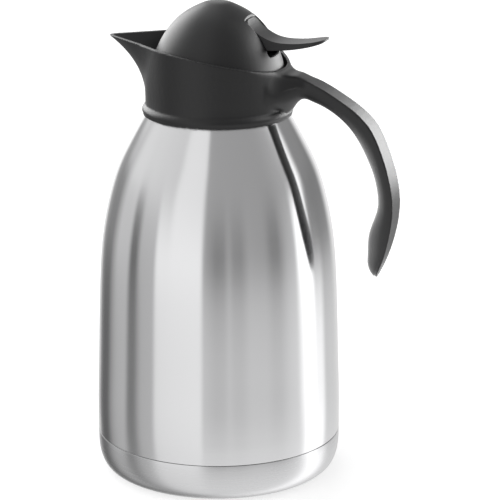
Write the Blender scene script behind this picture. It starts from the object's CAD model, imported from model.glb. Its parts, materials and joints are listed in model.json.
import json
from math import radians

import bmesh
import bpy
import numpy as np
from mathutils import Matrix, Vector


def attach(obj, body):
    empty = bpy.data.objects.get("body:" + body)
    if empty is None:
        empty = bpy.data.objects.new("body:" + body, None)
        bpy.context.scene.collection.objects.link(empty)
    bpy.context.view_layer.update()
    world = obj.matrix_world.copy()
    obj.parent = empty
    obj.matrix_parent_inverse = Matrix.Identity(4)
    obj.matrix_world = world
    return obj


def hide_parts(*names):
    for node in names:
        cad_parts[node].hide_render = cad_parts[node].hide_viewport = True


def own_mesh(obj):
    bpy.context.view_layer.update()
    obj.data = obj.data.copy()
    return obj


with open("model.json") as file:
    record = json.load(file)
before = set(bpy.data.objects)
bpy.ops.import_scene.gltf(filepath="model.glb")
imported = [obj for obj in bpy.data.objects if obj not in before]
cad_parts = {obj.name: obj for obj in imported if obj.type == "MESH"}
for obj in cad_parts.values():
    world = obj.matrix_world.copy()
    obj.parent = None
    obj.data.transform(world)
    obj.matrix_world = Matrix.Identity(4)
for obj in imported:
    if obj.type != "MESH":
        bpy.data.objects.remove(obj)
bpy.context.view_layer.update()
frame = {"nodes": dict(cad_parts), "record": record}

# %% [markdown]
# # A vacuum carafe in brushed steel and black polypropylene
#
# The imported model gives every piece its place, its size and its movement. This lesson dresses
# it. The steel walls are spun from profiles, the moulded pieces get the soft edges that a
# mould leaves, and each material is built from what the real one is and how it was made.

MM = 0.001
nodes = frame["nodes"]

# %% [markdown]
# ## Turning arrays into meshes
#
# A spun piece is one closed profile, carried round the axis. With the profile in an array of
# radii and heights, all its points come from two lines of numpy, and no loop is needed. A
# Screw modifier could spin a curve too, but an array keeps the seams closed by construction.

# %% Points and faces into a mesh


def make_piece(name, points, faces, body):
    """Put points in millimetres and faces into a mesh, smooth shaded, on a body."""
    mesh = bpy.data.meshes.new(name)
    mesh.from_pydata((points * MM).tolist(), [], faces)
    mesh.shade_smooth()
    piece = bpy.data.objects.new(name, mesh)
    bpy.context.scene.collection.objects.link(piece)
    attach(piece, body)
    print(name, len(mesh.vertices), "points", len(mesh.polygons), "faces")
    return piece


# %% Spinning a closed profile
STEPS = 288


def spin(profile):
    """Spin a closed profile round Z: the point (r, z) at turn t goes to (r cos t, r sin t, z).

    The profile runs up the outer face and down the inner one, so that the faces look out.
    """
    turn = np.linspace(0, 2 * np.pi, STEPS, endpoint=False)[:, None]
    radius, height = profile[:, 0], profile[:, 1]
    grid = np.stack([radius * np.cos(turn), radius * np.sin(turn), height + 0 * turn], axis=2)
    count = len(profile)
    here = np.arange(STEPS)[:, None] * count + np.arange(count)
    ahead = np.roll(here, -1, axis=0)
    quads = np.stack([here, ahead, np.roll(ahead, -1, axis=1), np.roll(here, -1, axis=1)], axis=2)
    return grid.reshape(-1, 3), quads.reshape(-1, 4)


def close_poles(points, quads):
    """Where a profile touches the axis its points fall together: keep one, drop flat faces."""
    keys = np.round(points, 4)
    _, first, index = np.unique(keys, axis=0, return_index=True, return_inverse=True)
    faces = index.reshape(-1)[quads]
    corners = [list(dict.fromkeys(face)) for face in faces.tolist()]
    return points[first], [face for face in corners if len(face) > 2]


# %% [markdown]
# ## The steel shell
#
# The real shell is a drawn tube, blown out to its shape and brushed. Its side is one long
# curve: nearly upright for two thirds of the way, then over the shoulder to the collar. A
# cubic that is smooth through a few stations, with its end directions given, follows that
# curve as a draughtsman's spline does.

# %% A smooth line through stations


def smooth_line(stations, start, end, count):
    """Cubic through the stations, its slopes found so that curvature is even across each one.

    At inner stations the slopes m solve m0 + 4 m1 + m2 = 3 (p2 - p0), for equal steps, and at
    the two ends they are given. Between stations the Hermite cubic joins point to point.
    """
    stations = np.array(stations, float)
    steps = len(stations) - 1
    system = 4 * np.eye(steps + 1) + np.eye(steps + 1, k=1) + np.eye(steps + 1, k=-1)
    system[0], system[-1] = np.eye(steps + 1)[[0, -1]]
    known = np.zeros_like(stations)
    known[1:-1] = 3 * (stations[2:] - stations[:-2])
    reach = np.linalg.norm(np.diff(stations, axis=0), axis=1)
    known[0] = np.array(start) / np.linalg.norm(start) * reach[0]
    known[-1] = np.array(end) / np.linalg.norm(end) * reach[-1]
    slopes = np.linalg.solve(system, known)
    at = np.linspace(0, steps, count)
    left = np.minimum(at.astype(int), steps - 1)
    t = (at - left)[:, None]
    return ((1 + 2 * t) * (1 - t) ** 2 * stations[left] + t * (1 - t) ** 2 * slopes[left]
            + t**2 * (3 - 2 * t) * stations[left + 1] + t**2 * (t - 1) * slopes[left + 1])


def arc(centre, radius, start, end, count=7):
    """Points on a circle's arc: centre plus radius times (cos, sin) of the angle."""
    angle = np.radians(np.linspace(start, end, count))
    return np.array(centre) + radius * np.stack([np.cos(angle), np.sin(angle)], axis=1)


# %% The shell's profile
BODY, SEAT, SHEET = 74.1, 42.8, 0.8         # widest radius, radius at the collar, thickness
LAP_Z, SEAM_Z, SIDE_Z, SEAT_Z = 13.0, 25.0, 38.0, 222.3
# at seven stations, the share of BODY - SEAT that is lost and of the height that is gained
LOST = np.array([0.0, 0.026, 0.087, 0.217, 0.422, 0.682, 1.0])
GAINED = np.array([0.0, 0.19, 0.487, 0.672, 0.806, 0.903, 1.0])
SHOULDER_TILT = 30                          # degrees off upright where the shoulder ends
SHOULDER_END = (-0.515, 0.857)              # direction there, inwards and up
UNDER_SKIRT = np.array([-1.0, 1.73])        # the shoulder runs on so far under the collar
STEP_Z, FILLET, ROLL = SEAM_Z + 0.1, 0.3, 0.35


def shell_face(inset):
    """Side and shoulder of the shell, moved in along its own normal by the inset."""
    tilt = np.radians(SHOULDER_TILT) * GAINED**3
    radius = BODY - LOST * (BODY - SEAT) - inset * np.cos(tilt)
    height = SIDE_Z + GAINED * (SEAT_Z - SIDE_Z) - inset * np.sin(tilt)
    side = smooth_line(np.stack([radius, height], axis=1), (0, 1), SHOULDER_END, 120)
    return np.concatenate([side, side[-1:] + UNDER_SKIRT])


lap = BODY - 2 * SHEET                      # radius of the end that stands inside the cup
outer = np.concatenate([[(lap, LAP_Z), (lap, SEAM_Z - FILLET)],
                        arc((lap + FILLET, STEP_Z - FILLET), FILLET, 180, 90),
                        arc((BODY - ROLL, STEP_Z + ROLL), ROLL, -90, 0), shell_face(0)])
inner = np.concatenate([[(lap - SHEET, LAP_Z), (lap - SHEET, SEAM_Z)], shell_face(SHEET)])
points, quads = spin(np.concatenate([outer, inner[::-1]]))
shell = make_piece("brushed_shell", points, quads.tolist(), "vessel")
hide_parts("outer_shell")

# %% [markdown]
# ## The base cup
#
# The shell stands in a pressed steel cup. Its edge is rounded where the press turned the
# sheet, and only a hairline shows between the two, so both lips are rolled by a few tenths
# of a millimetre: that is what makes the seam read as a thin dark line.

# %% The cup's profile
FOOT, FLAT, RECESS, RECESS_TOP = 0.8, 64.0, 58.1, 2.4
EDGE_RUN, EDGE_RISE, EDGE_PULL, STRAIGHT = 3.2, 1.5, 8.0, 4.0   # how full the rounded edge is
RIM_ROUND, CORNER_CUT = 0.4, 0.3                                # round the pad's recess
LIP_TOP, LIP_OUTSIDE, LIP_INSIDE = SEAM_Z - 0.1, 0.3, 0.2       # the rolled lip at the seam


def bezier(corners, count=24):
    """Cubic Bezier: the four corners weighed by (1-t)^3, 3t(1-t)^2, 3t^2(1-t) and t^3."""
    t = np.linspace(0, 1, count)[:, None]
    a, b, c, d = np.array(corners, float)
    return (1 - t) ** 3 * a + 3 * t * (1 - t) ** 2 * b + 3 * t**2 * (1 - t) * c + t**3 * d


def cup_face(inset):
    """Recess, flat rim and rounded edge of the cup, for one face of the sheet."""
    side, foot = BODY - inset, FOOT + inset
    recess, top = RECESS + inset, RECESS_TOP + inset
    edge = bezier([(FLAT, foot), (side - EDGE_RUN, foot + EDGE_RISE),
                   (side, FOOT + EDGE_PULL), (side, SEAM_Z - STRAIGHT)])
    rim = arc((recess + RIM_ROUND, foot + RIM_ROUND), RIM_ROUND, 180, 270)
    return np.concatenate([[(0.0, top), (recess - CORNER_CUT, top), (recess, top - CORNER_CUT)],
                           rim, edge])


lip = np.concatenate([
    arc((BODY - LIP_OUTSIDE, LIP_TOP - LIP_OUTSIDE), LIP_OUTSIDE, 0, 90),
    arc((BODY - SHEET + LIP_INSIDE, LIP_TOP - LIP_INSIDE), LIP_INSIDE, 90, 180)])
points, faces = close_poles(*spin(np.concatenate([cup_face(0), lip, cup_face(SHEET)[::-1]])))
cup = make_piece("pressed_cup", points, faces, "vessel")
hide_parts("base_cup")

# %% [markdown]
# ## The valve's spring
#
# The spring is stainless wire, coiled cold. It is the one piece that changes its length: when
# the lever lifts the valve, the spring shortens towards its upper end. A curve with a round
# bevel would draw the same wire, but points in an array can be squashed pose by pose.

# %% Wire on a helix


def wound_wire(coil, wire, bottom, top, turns, per_turn=48, sides=12):
    """Wire on a helix: at angle t the centre is (R cos t, R sin t, z), and z rises evenly.

    Round the centre lies a circle of the wire's radius, spanned by the direction away from the
    axis and the one square to it and to the wire.
    """
    t = np.linspace(0, 2 * np.pi * turns, per_turn * turns + 1)[:, None]
    climb = (top - bottom - 2 * wire) / (2 * np.pi * turns)
    away = np.concatenate([np.cos(t), np.sin(t), 0 * t], axis=1)
    along = np.concatenate([-coil * np.sin(t), coil * np.cos(t), climb + 0 * t], axis=1)
    square = np.cross(away, along) / np.linalg.norm(along, axis=1, keepdims=True)
    centre = coil * away + np.concatenate([0 * t, 0 * t, bottom + wire + climb * t], axis=1)
    angle = np.linspace(0, 2 * np.pi, sides, endpoint=False)[:, None]
    ring = np.cos(angle) * away[:, None] + np.sin(angle) * square[:, None]
    grid = centre[:, None] + wire * ring
    here = np.arange(len(t))[:, None] * sides + np.arange(sides)
    side = np.roll(here, -1, axis=1)
    quads = np.stack([here[:-1], here[1:], side[1:], side[:-1]], axis=2).reshape(-1, 4).tolist()
    return grid.reshape(-1, 3), quads + [here[0].tolist(), here[-1, ::-1].tolist()]


# %% The spring and how it shortens
COIL, WIRE, TURNS = 7.0, 0.6, 5
packed = np.array([corner[:] for corner in nodes["valve_spring"].bound_box]) / MM
bottom, top = packed[:, 2].min(), packed[:, 2].max()
points, faces = wound_wire(COIL, WIRE, bottom, top, TURNS)
spring = make_piece("wound_spring", points, faces, "stopper")
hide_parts("valve_spring")
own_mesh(spring)

# %% [markdown]
# ## The moulded pieces
#
# Collar, dome and lever come out of a mould. No moulded edge is sharp, and where the handle
# grows out of the collar the two run into each other in a soft hollow. A Bevel modifier can't
# do that last part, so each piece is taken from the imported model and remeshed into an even
# skin, and then every point is drawn towards its neighbours: a little everywhere, which
# rounds the edges, and a lot in the hollow.

# %% An even skin
SAME_POINT = 0.002                          # points this close are one


def even_skin(node_name, name, voxel):
    """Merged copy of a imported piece, remeshed into quads of one size."""
    mesh = bpy.data.meshes.new(name)
    shape = bmesh.new()
    shape.from_mesh(nodes[node_name].data)
    bmesh.ops.remove_doubles(shape, verts=shape.verts, dist=SAME_POINT * MM)
    shape.to_mesh(mesh)
    shape.free()
    piece = bpy.data.objects.new(name, mesh)
    bpy.context.scene.collection.objects.link(piece)
    remesh = piece.modifiers.new("even", "REMESH")
    remesh.mode = "VOXEL"
    remesh.voxel_size = voxel * MM
    bake(piece)
    return piece


def bake(piece):
    """Apply a piece's modifiers to its mesh."""
    seen = piece.evaluated_get(bpy.context.evaluated_depsgraph_get())
    mesh = bpy.data.meshes.new_from_object(seen)
    piece.modifiers.clear()
    piece.data = mesh


def thin_out(piece, triangles):
    """Collapse the flattest faces first, until so many triangles are left."""
    have = sum(len(face.vertices) - 2 for face in piece.data.polygons)
    if have > triangles:
        cut = piece.modifiers.new("thin", "DECIMATE")
        cut.ratio = triangles / have
        bake(piece)
    piece.data.shade_smooth()


# %% Moving points


def read_points(mesh, what="co", unit=MM):
    """The mesh's points as an array in millimetres, or its normals with a unit of 1."""
    flat = np.empty(3 * len(mesh.vertices))
    mesh.vertices.foreach_get(what, flat)
    return flat.reshape(-1, 3) / unit


def write_points(mesh, points):
    """Put an array in millimetres back into the mesh."""
    mesh.vertices.foreach_set("co", (points * MM).ravel())


def relax(piece, rounds, weight, back=-0.52):
    """Each round, a point p moves to p + w k (mean of its neighbours - p).

    k is 0.5 and then the step back: with -0.52 the edges get round but the whole piece doesn't
    shrink, and with 0.5 a hollow fills up. The weight is one number, or one for each point.
    """
    mesh = piece.data
    ends = np.empty(2 * len(mesh.edges), int)
    mesh.edges.foreach_get("vertices", ends)
    one, two = ends.reshape(-1, 2).T
    count = np.bincount(ends, minlength=len(mesh.vertices))[:, None]
    points = read_points(mesh)
    weight = np.broadcast_to(np.asarray(weight, float).reshape(-1, 1), (len(points), 1))
    for turn in range(2 * rounds):
        total = np.stack([np.bincount(one, points[two, axis], len(points))
                          + np.bincount(two, points[one, axis], len(points))
                          for axis in range(3)], axis=1)
        points = points + weight * (0.5 if turn % 2 == 0 else back) * (total / count - points)
    write_points(mesh, points)
    return points


def ramp(value, low, high):
    """0 below low, 1 above high, and 3t^2 - 2t^3 in between."""
    t = np.clip((value - low) / (high - low), 0, 1)
    return t * t * (3 - 2 * t)


def band(value, start, full, fade, gone):
    """0 below start, 1 from full to fade and 0 again above gone: two ramps multiplied."""
    return ramp(value, start, full) * (1 - ramp(value, fade, gone))


# %% [markdown]
# Each soft form is a weight between 0 and 1 for every point, made of smooth ramps: one over
# the distance from the axis, one towards the handle (x) and one over the height (z), all in
# millimetres. The weight says how strongly the point follows.

# %% The collar, its bead and the handle's root
BEAD_DROP = 1.2                             # the bead lies low, close over the steel
collar = even_skin("collar", "moulded_collar", voxel=0.5)
x, y, z = read_points(collar.data).T
reach = np.hypot(x, y)
hollow = ramp(reach, 42.6, 45) * band(x, 30, 38, 50, 62) * band(z, 229.5, 234, 259, 261.5)
relax(collar, rounds=1, weight=1.0)
points = relax(collar, rounds=60, weight=hollow, back=0.5)

x, z = points[:, 0], points[:, 2]
points[:, 2] -= BEAD_DROP * band(z, 222.3, 224.5, 227.5, 233) * band(reach, 41, 43, 47, 50)
write_points(collar.data, points)
root = band(reach, 43.4, 45, 52, 56) * ramp(x, 30, 36) * band(z, 225.5, 227.5, 232, 236)
points = relax(collar, rounds=14, weight=root, back=0.5)

# %% [markdown]
# A handle that is to be full in the hand is deep over its arch and deeper still in the leaf at
# its end. Points on the outside and on the inside move along their own normals, and the flanks
# stay where they are, because only the upright part of the normal counts.

# %% The handle's arch and leaf
CREST, SHOULDER, ARCH, LEAF = 1.4, 1.1, 1.9, 2.2    # millimetres added at the fullest place
BEND = (58, 0, 172)                                 # the arch bends round about this point

collar.data.update()
upright = read_points(collar.data, "normal", unit=1) * (1, 0, 1)
outside = ((points - BEND) * upright).sum(axis=1) > 0
x, z = points[:, 0], points[:, 2]
level = ramp(z, 188, 204)
crest = ramp(x, 43.5, 51) * level
above = CREST * crest * (1 - ramp(x, 94, 106)) + SHOULDER * band(x, 45, 54, 55, 82) * crest
leaf = ramp(x, 60, 70) * band(z, 127, 140, 150, 176)
below = ARCH * band(x, 52, 62, 90, 102) * level + LEAF * leaf
write_points(collar.data, points + np.where(outside, above, below)[:, None] * upright)
relax(collar, rounds=4, weight=np.maximum(crest, leaf))
thin_out(collar, triangles=190000)
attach(collar, "vessel")
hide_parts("collar")
print("collar", len(collar.data.polygons), "faces")

# %% [markdown]
# The dome needs round edges and no more. The lever's front end has to lie flush in the dome,
# so it is let down a little there.

# %% Dome and lever
dome = even_skin("dome_cover", "moulded_dome", voxel=0.45)
relax(dome, rounds=2, weight=1.0)
thin_out(dome, triangles=150000)
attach(dome, "stopper")
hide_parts("dome_cover")

FRONT_DROP = 0.9
lever = even_skin("thumb_lever", "moulded_lever", voxel=0.28)
points = relax(lever, rounds=3, weight=1.0)
points[:, 2] -= FRONT_DROP * ramp(points[:, 2], 270, 276) * (1 - ramp(points[:, 0], 18, 38))
write_points(lever.data, points)
thin_out(lever, triangles=120000)
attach(lever, "lever")
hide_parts("thumb_lever")
print("dome", len(dome.data.polygons), "lever", len(lever.data.polygons), "faces")

# %% [markdown]
# ## Small tools for materials
#
# Colours are written as sRGB hex, as a paint chart gives them, and one function turns them
# into the linear values that a renderer adds up. One function adds a node, sets its sockets
# and joins its links, so each material reads as a list of what it is made of.

# %% Colour and node helpers


def linear(hex_colour):
    """sRGB hex to linear RGBA: the low part is a straight line, the rest a 2.4 power."""
    parts = np.array([int(hex_colour[i:i + 2], 16) for i in (1, 3, 5)]) / 255
    dark = parts / 12.92
    bright = ((parts + 0.055) / 1.055) ** 2.4
    return (*np.where(parts <= 0.04045, dark, bright), 1.0)


def add(tree, kind, links=None, sockets=None, **settings):
    """Add one node. Links and sockets are given by input name or number."""
    node = tree.nodes.new(kind)
    for name, value in settings.items():
        setattr(node, name, value)
    for name, value in (sockets or {}).items():
        node.inputs[name].default_value = value
    for name, source in (links or {}).items():
        tree.links.new(source, node.inputs[name])
    return node


def new_material(name, **sockets):
    """An empty node material: the material, its tree and its surface shader."""
    material = bpy.data.materials.new(name)
    material.use_nodes = True
    tree = material.node_tree
    tree.nodes.clear()
    shader = add(tree, "ShaderNodeBsdfPrincipled", None, sockets)
    add(tree, "ShaderNodeOutputMaterial", {"Surface": shader.outputs[0]})
    return material, tree, shader


def around(tree, noise, middle, spread):
    """Noise, which keeps mostly between 0.3 and 0.7, turned into middle plus or minus spread."""
    return add(tree, "ShaderNodeMapRange", {"Value": noise.outputs[0]},
               {"From Min": 0.3, "From Max": 0.7, "To Min": middle - spread,
                "To Max": middle + spread}).outputs[0]


# %% [markdown]
# ## Brushed stainless steel
#
# The belt that brushes such a body runs round it, and leaves grooves that run round too.
# Light spreads across grooves and stays sharp along them, so each reflection is drawn out up
# and down the body into a band with crisp sides. Anisotropic reflection with a tangent that
# goes round the axis gives exactly that. The grooves themselves are some 0.05 mm wide, far
# finer than a render of the whole body shows, so they are drawn at 0.7 mm, and very faintly.

# %% Steel


def brushed_steel(name, colour, roughness, anisotropy, grain_mm, unevenness):
    """Stainless steel brushed round its axis: bands with crisp sides, faint level lines."""
    material, tree, shader = new_material(name, **{
        "Base Color": linear(colour), "Metallic": 1.0,
        "Anisotropic": anisotropy, "Anisotropic Rotation": 0.25})
    place = add(tree, "ShaderNodeTexCoord")
    groove = add(tree, "ShaderNodeMapping", {"Vector": place.outputs["Object"]},
                 {"Scale": (25, 25, 1 / (grain_mm * MM))})
    grain = add(tree, "ShaderNodeTexNoise", {"Vector": groove.outputs[0]},
                {"Scale": 1.0, "Detail": 2.0})
    tangent = add(tree, "ShaderNodeTangent", direction_type="RADIAL", axis="Z")
    tree.links.new(around(tree, grain, roughness, unevenness), shader.inputs["Roughness"])
    tree.links.new(tangent.outputs[0], shader.inputs["Tangent"])
    return material


satin_steel = brushed_steel("satin_brushed_stainless", "#CBCBCC", roughness=0.17,
                            anisotropy=1.0, grain_mm=0.7, unevenness=0.006)
cup_steel = brushed_steel("brushed_stainless_cup", "#C6C6C7", roughness=0.28,
                          anisotropy=0.75, grain_mm=0.7, unevenness=0.01)
drawn_steel = brushed_steel("drawn_stainless", "#C2C2C2", roughness=0.18,
                            anisotropy=0.5, grain_mm=1.2, unevenness=0.02)
bright_steel = brushed_steel("turned_bright_steel", "#BDBDBD", roughness=0.2,
                             anisotropy=0.4, grain_mm=0.4, unevenness=0.03)

# %% [markdown]
# ## Black polypropylene
#
# The mould for these pieces was spark-eroded, which prints a fine even grain on the plastic
# under a soft gloss. The grain is about 0.15 mm across: it is drawn at 0.5 mm, shallow, so
# that it just breaks up the highlights on the handle.

# %% Plastics and rubbers


def moulded(name, colour, roughness, ior, grain_mm, depth_mm, level=0.5):
    """Moulded plastic or rubber: an even grain, and a gloss that varies a little with it."""
    material, tree, shader = new_material(name, **{
        "Base Color": linear(colour), "IOR": ior, "Specular IOR Level": level})
    place = add(tree, "ShaderNodeTexCoord")
    grain = add(tree, "ShaderNodeTexNoise", {"Vector": place.outputs["Object"]},
                {"Scale": 1 / (grain_mm * MM), "Detail": 2.0})
    bump = add(tree, "ShaderNodeBump", {"Height": grain.outputs[0]},
               {"Strength": 1.0, "Distance": depth_mm * MM})
    tree.links.new(around(tree, grain, roughness, 0.03), shader.inputs["Roughness"])
    tree.links.new(bump.outputs[0], shader.inputs["Normal"])
    return material


black_pp = moulded("black_polypropylene", "#151516", roughness=0.44, ior=1.49,
                   grain_mm=0.5, depth_mm=0.012, level=0.4)
inner_pp = moulded("dark_grey_polypropylene", "#2A2A2B", roughness=0.45, ior=1.49,
                   grain_mm=0.5, depth_mm=0.01)
silicone = moulded("translucent_silicone", "#B4B3AE", roughness=0.38, ior=1.41,
                   grain_mm=0.8, depth_mm=0.005)
foot_rubber = moulded("black_foot_rubber", "#161616", roughness=0.6, ior=1.52,
                      grain_mm=0.6, depth_mm=0.03)

# %% [markdown]
# ## Every piece gets its finish
#
# The record names a finish for each node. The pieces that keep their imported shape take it
# from there, and the new ones are given theirs by hand. A remeshed copy brings its old
# material along, which is cleared first.

# %% Finishes
finishes = {"satin_steel": satin_steel, "base_steel": cup_steel, "liner_steel": drawn_steel,
            "black_pp": black_pp, "natural_pp": inner_pp, "silicone": silicone,
            "foot_rubber": foot_rubber, "bright_steel": bright_steel}
for part in frame["record"]["subparts"]:
    nodes[part["node"]].data.materials[0] = finishes[part["material_slot"]]
for piece, material in ((shell, satin_steel), (cup, cup_steel), (spring, bright_steel),
                        (collar, black_pp), (dome, black_pp), (lever, black_pp)):
    piece.data.materials.clear()
    piece.data.materials.append(material)
print(len(nodes), "nodes have a finish")

# %% [markdown]
# ## The floor
#
# A sheet of white paper carries the object and keeps its shadow. Seen by the camera it glows a
# little, so that it runs into the white behind it. It lies a tenth of a millimetre low: two
# faces in one plane would flicker where the foot pad stands on it.

# %% White paper
FLOOR_RADIUS, FLOOR_DROP = 8.0, 0.1         # in metres and in millimetres


def make_floor(radius, height):
    """A round sheet: its rim is (r cos t, r sin t) at the height."""
    turn = np.linspace(0, 2 * np.pi, 96, endpoint=False)
    rim = np.stack([radius * np.cos(turn), radius * np.sin(turn), height + 0 * turn], axis=1)
    mesh = bpy.data.meshes.new("floor")
    mesh.from_pydata(rim.tolist(), [], [list(range(len(turn)))])
    floor = bpy.data.objects.new("floor", mesh)
    bpy.context.scene.collection.objects.link(floor)
    return floor


floor = make_floor(FLOOR_RADIUS, -FLOOR_DROP * MM)
material, tree, shader = new_material("white_paper", **{
    "Base Color": linear("#E6E6E6"), "Roughness": 0.9, "Emission Color": (1, 1, 1, 1)})
path = add(tree, "ShaderNodeLightPath")
glow = add(tree, "ShaderNodeMath", {0: path.outputs["Is Camera Ray"]}, {1: 0.5},
           operation="MULTIPLY")
tree.links.new(glow.outputs[0], shader.inputs["Emission Strength"])
floor.data.materials.append(material)
floor.visible_glossy = False
print("floor", 2 * FLOOR_RADIUS, "m across")

# %% [markdown]
# ## The studio
#
# Steel shows nothing but the room around it, so the room is drawn as a set of tall panels,
# each with its place round the object and its brightness: a wide soft box at the left of the
# camera, a bright strip at the right, dark flags between them. A second row, low down, is
# the table that stands in front, and a third, high up, the ceiling. A direction's height is
# its Z, from -1 straight down to 1 straight up, and between rows the brightness is blended.

# %% Panels round the object
CAMERA_AZIMUTH = 20.0
# angle from the camera's side, positive to the right, and the brightness there
ROOM = [(-180, 1.2), (-162, 1.2), (-155, 0.5), (-142, 0.34), (-130, 0.34), (-116, 0.85),
        (-99, 0.82), (-94, 0.16), (-88, 0.16), (-82, 0.7), (-66, 0.7), (-62, 1.42),
        (-17.5, 1.42), (-14, 0.5), (-2, 0.2), (5, 0.24), (10, 0.5), (15, 0.3), (22, 0.28),
        (30, 0.52), (46, 0.46), (54, 0.24), (61, 0.24), (70, 0.6), (80, 0.8), (86, 2.4),
        (101, 2.4), (107, 0.3), (142, 0.3), (156, 1.1)]
TABLE = [(-180, 0.8), (-160, 0.8), (-154, 0.3), (-144, 0.14), (-133, 0.16), (-124, 0.46),
         (-114, 0.62), (-102, 0.66), (-96, 0.32), (-87, 0.32), (-80, 0.66), (-66, 0.7),
         (-62, 1.08), (-17.5, 1.18), (-14, 1.1), (60, 1.15), (88, 1.2), (95, 2.0),
         (118, 2.0), (125, 1.1)]
CEILING = [(-180, 1.4), (-150, 1.4), (-138, 1.2), (-128, 0.9), (-116, 1.15), (-96, 1.1),
           (-52, 0.95), (-46, 1.25), (-17, 1.2), (-12, 0.55), (60, 0.5), (90, 0.6),
           (96, 1.8), (106, 1.8), (113, 0.4), (164, 0.4)]
TABLE_TO_ROOM, ROOM_TO_CEILING = (-0.30, -0.14), (0.05, 0.22)

world = bpy.data.worlds.new("studio")
bpy.context.scene.world = world
world.use_nodes = True
tree = world.node_tree
tree.nodes.clear()
turn = radians(CAMERA_AZIMUTH)
toward = np.array([np.sin(turn), -np.cos(turn), 0])         # from the object to the camera
right = np.array([np.cos(turn), np.sin(turn), 0])
place = add(tree, "ShaderNodeTexCoord")
ahead = add(tree, "ShaderNodeVectorMath", {0: place.outputs["Generated"]}, {1: toward},
            operation="DOT_PRODUCT")
aside = add(tree, "ShaderNodeVectorMath", {0: place.outputs["Generated"]}, {1: right},
            operation="DOT_PRODUCT")
azimuth = add(tree, "ShaderNodeMath", {0: aside.outputs["Value"], 1: ahead.outputs["Value"]},
              operation="ARCTAN2")
share = add(tree, "ShaderNodeMapRange", {"Value": azimuth.outputs[0]},
            {"From Min": -np.pi, "From Max": np.pi})
up = add(tree, "ShaderNodeSeparateXYZ", {"Vector": place.outputs["Generated"]})


def panel_row(stops):
    """A ring of panels: a colour ramp over the angle round the object."""
    row = add(tree, "ShaderNodeValToRGB", {"Fac": share.outputs[0]})
    points = row.color_ramp.elements
    points.remove(points[-1])
    for i, (angle, level) in enumerate([*stops, (180, stops[0][1])]):
        point = points[0] if i == 0 else points.new((angle + 180) / 360)
        point.position = (angle + 180) / 360
        point.color = (level, level, level, 1)
    return row.outputs[0]


def blend(below, above, heights):
    """Go from one row to the next between two heights."""
    part = add(tree, "ShaderNodeMapRange", {"Value": up.outputs["Z"]},
               {"From Min": heights[0], "From Max": heights[1]}, interpolation_type="SMOOTHSTEP")
    mix = add(tree, "ShaderNodeMix", {"Factor": part.outputs[0]}, data_type="RGBA")
    tree.links.new(below, mix.inputs[6])
    tree.links.new(above, mix.inputs[7])
    return mix.outputs[2]


light = blend(panel_row(TABLE), panel_row(ROOM), TABLE_TO_ROOM)
light = blend(light, panel_row(CEILING), ROOM_TO_CEILING)
lit = add(tree, "ShaderNodeBackground", {"Color": light})
white = add(tree, "ShaderNodeBackground", None, {"Color": (1, 1, 1, 1)})
path = add(tree, "ShaderNodeLightPath")
mix = add(tree, "ShaderNodeMixShader",
          {0: path.outputs["Is Camera Ray"], 1: lit.outputs[0], 2: white.outputs[0]})
add(tree, "ShaderNodeOutputWorld", {"Surface": mix.outputs[0]})
print(len(ROOM), "panels round the object,", len(TABLE), "low and", len(CEILING), "high")

# %% [markdown]
# ## Lamps for the black plastic
#
# Black plastic shows its shape by its highlights alone. Four soft boxes stand near the
# object and light only the plastic, so that the steel keeps the calm room: one behind the
# handle's shoulder, one behind the dome on the other side, one high up beside the dome, and
# one that stands for the light which the steel throws back on the inside of the handle.

# %% Near lamps
plastics = bpy.data.collections.new("black_plastics")
for piece in (collar, dome, lever):
    plastics.objects.link(piece)


def near_lamp(ahead, aside, height, target, width, tall, level):
    """A soft box, its place seen from the camera's side, turned to a target; level is its glow.

    A square metre that glows at one sends out pi watts, so the power is pi times level times
    the area.
    """
    light = bpy.data.lights.new("near_soft_box", "AREA")
    light.shape = "RECTANGLE"
    light.size, light.size_y = width * MM, tall * MM
    light.energy = level * np.pi * light.size * light.size_y
    lamp = bpy.data.objects.new("near_soft_box", light)
    bpy.context.scene.collection.objects.link(lamp)
    place = Vector(ahead * toward + aside * right + (0, 0, height)) * MM
    lamp.location = place
    lamp.rotation_euler = (Vector(target) * MM - place).to_track_quat("-Z", "Y").to_euler()
    lamp.visible_camera = False
    lamp.light_linking.receiver_collection = plastics


near_lamp(-182, 325, 285, target=(100, 0, 235), width=260, tall=280, level=7.0)
near_lamp(-270, -270, 390, target=(0, 0, 262), width=360, tall=360, level=4.8)
near_lamp(-10, 380, 400, target=(0, 0, 270), width=200, tall=260, level=5.0)
near_lamp(10, 84, 135, target=(150, 0, 150), width=120, tall=130, level=2.9)

# %% [markdown]
# ## The camera
#
# A long lens from well away keeps the body's sides nearly parallel, and a dip of sixteen
# degrees shows the round of the foot and the inside of the spout.

# %% Camera
CAMERA_RUN, CAMERA_HEIGHT = 1.4768, 0.5647          # metres from the axis and above the floor
CAMERA_DIP, CAMERA_SWING = 16.16, 0.746             # degrees down, and to the right
camera = bpy.data.objects.new("camera", bpy.data.cameras.new("camera"))
bpy.context.scene.collection.objects.link(camera)
camera.location = Vector(CAMERA_RUN * toward + (0, 0, CAMERA_HEIGHT))
camera.rotation_euler = (radians(90 - CAMERA_DIP), 0, turn - radians(CAMERA_SWING))
camera.data.sensor_width, camera.data.lens = 36, 182.41
camera.data.clip_start, camera.data.clip_end = 0.1, 40
bpy.context.scene.camera = camera
bpy.context.scene.view_settings.view_transform = "Standard"
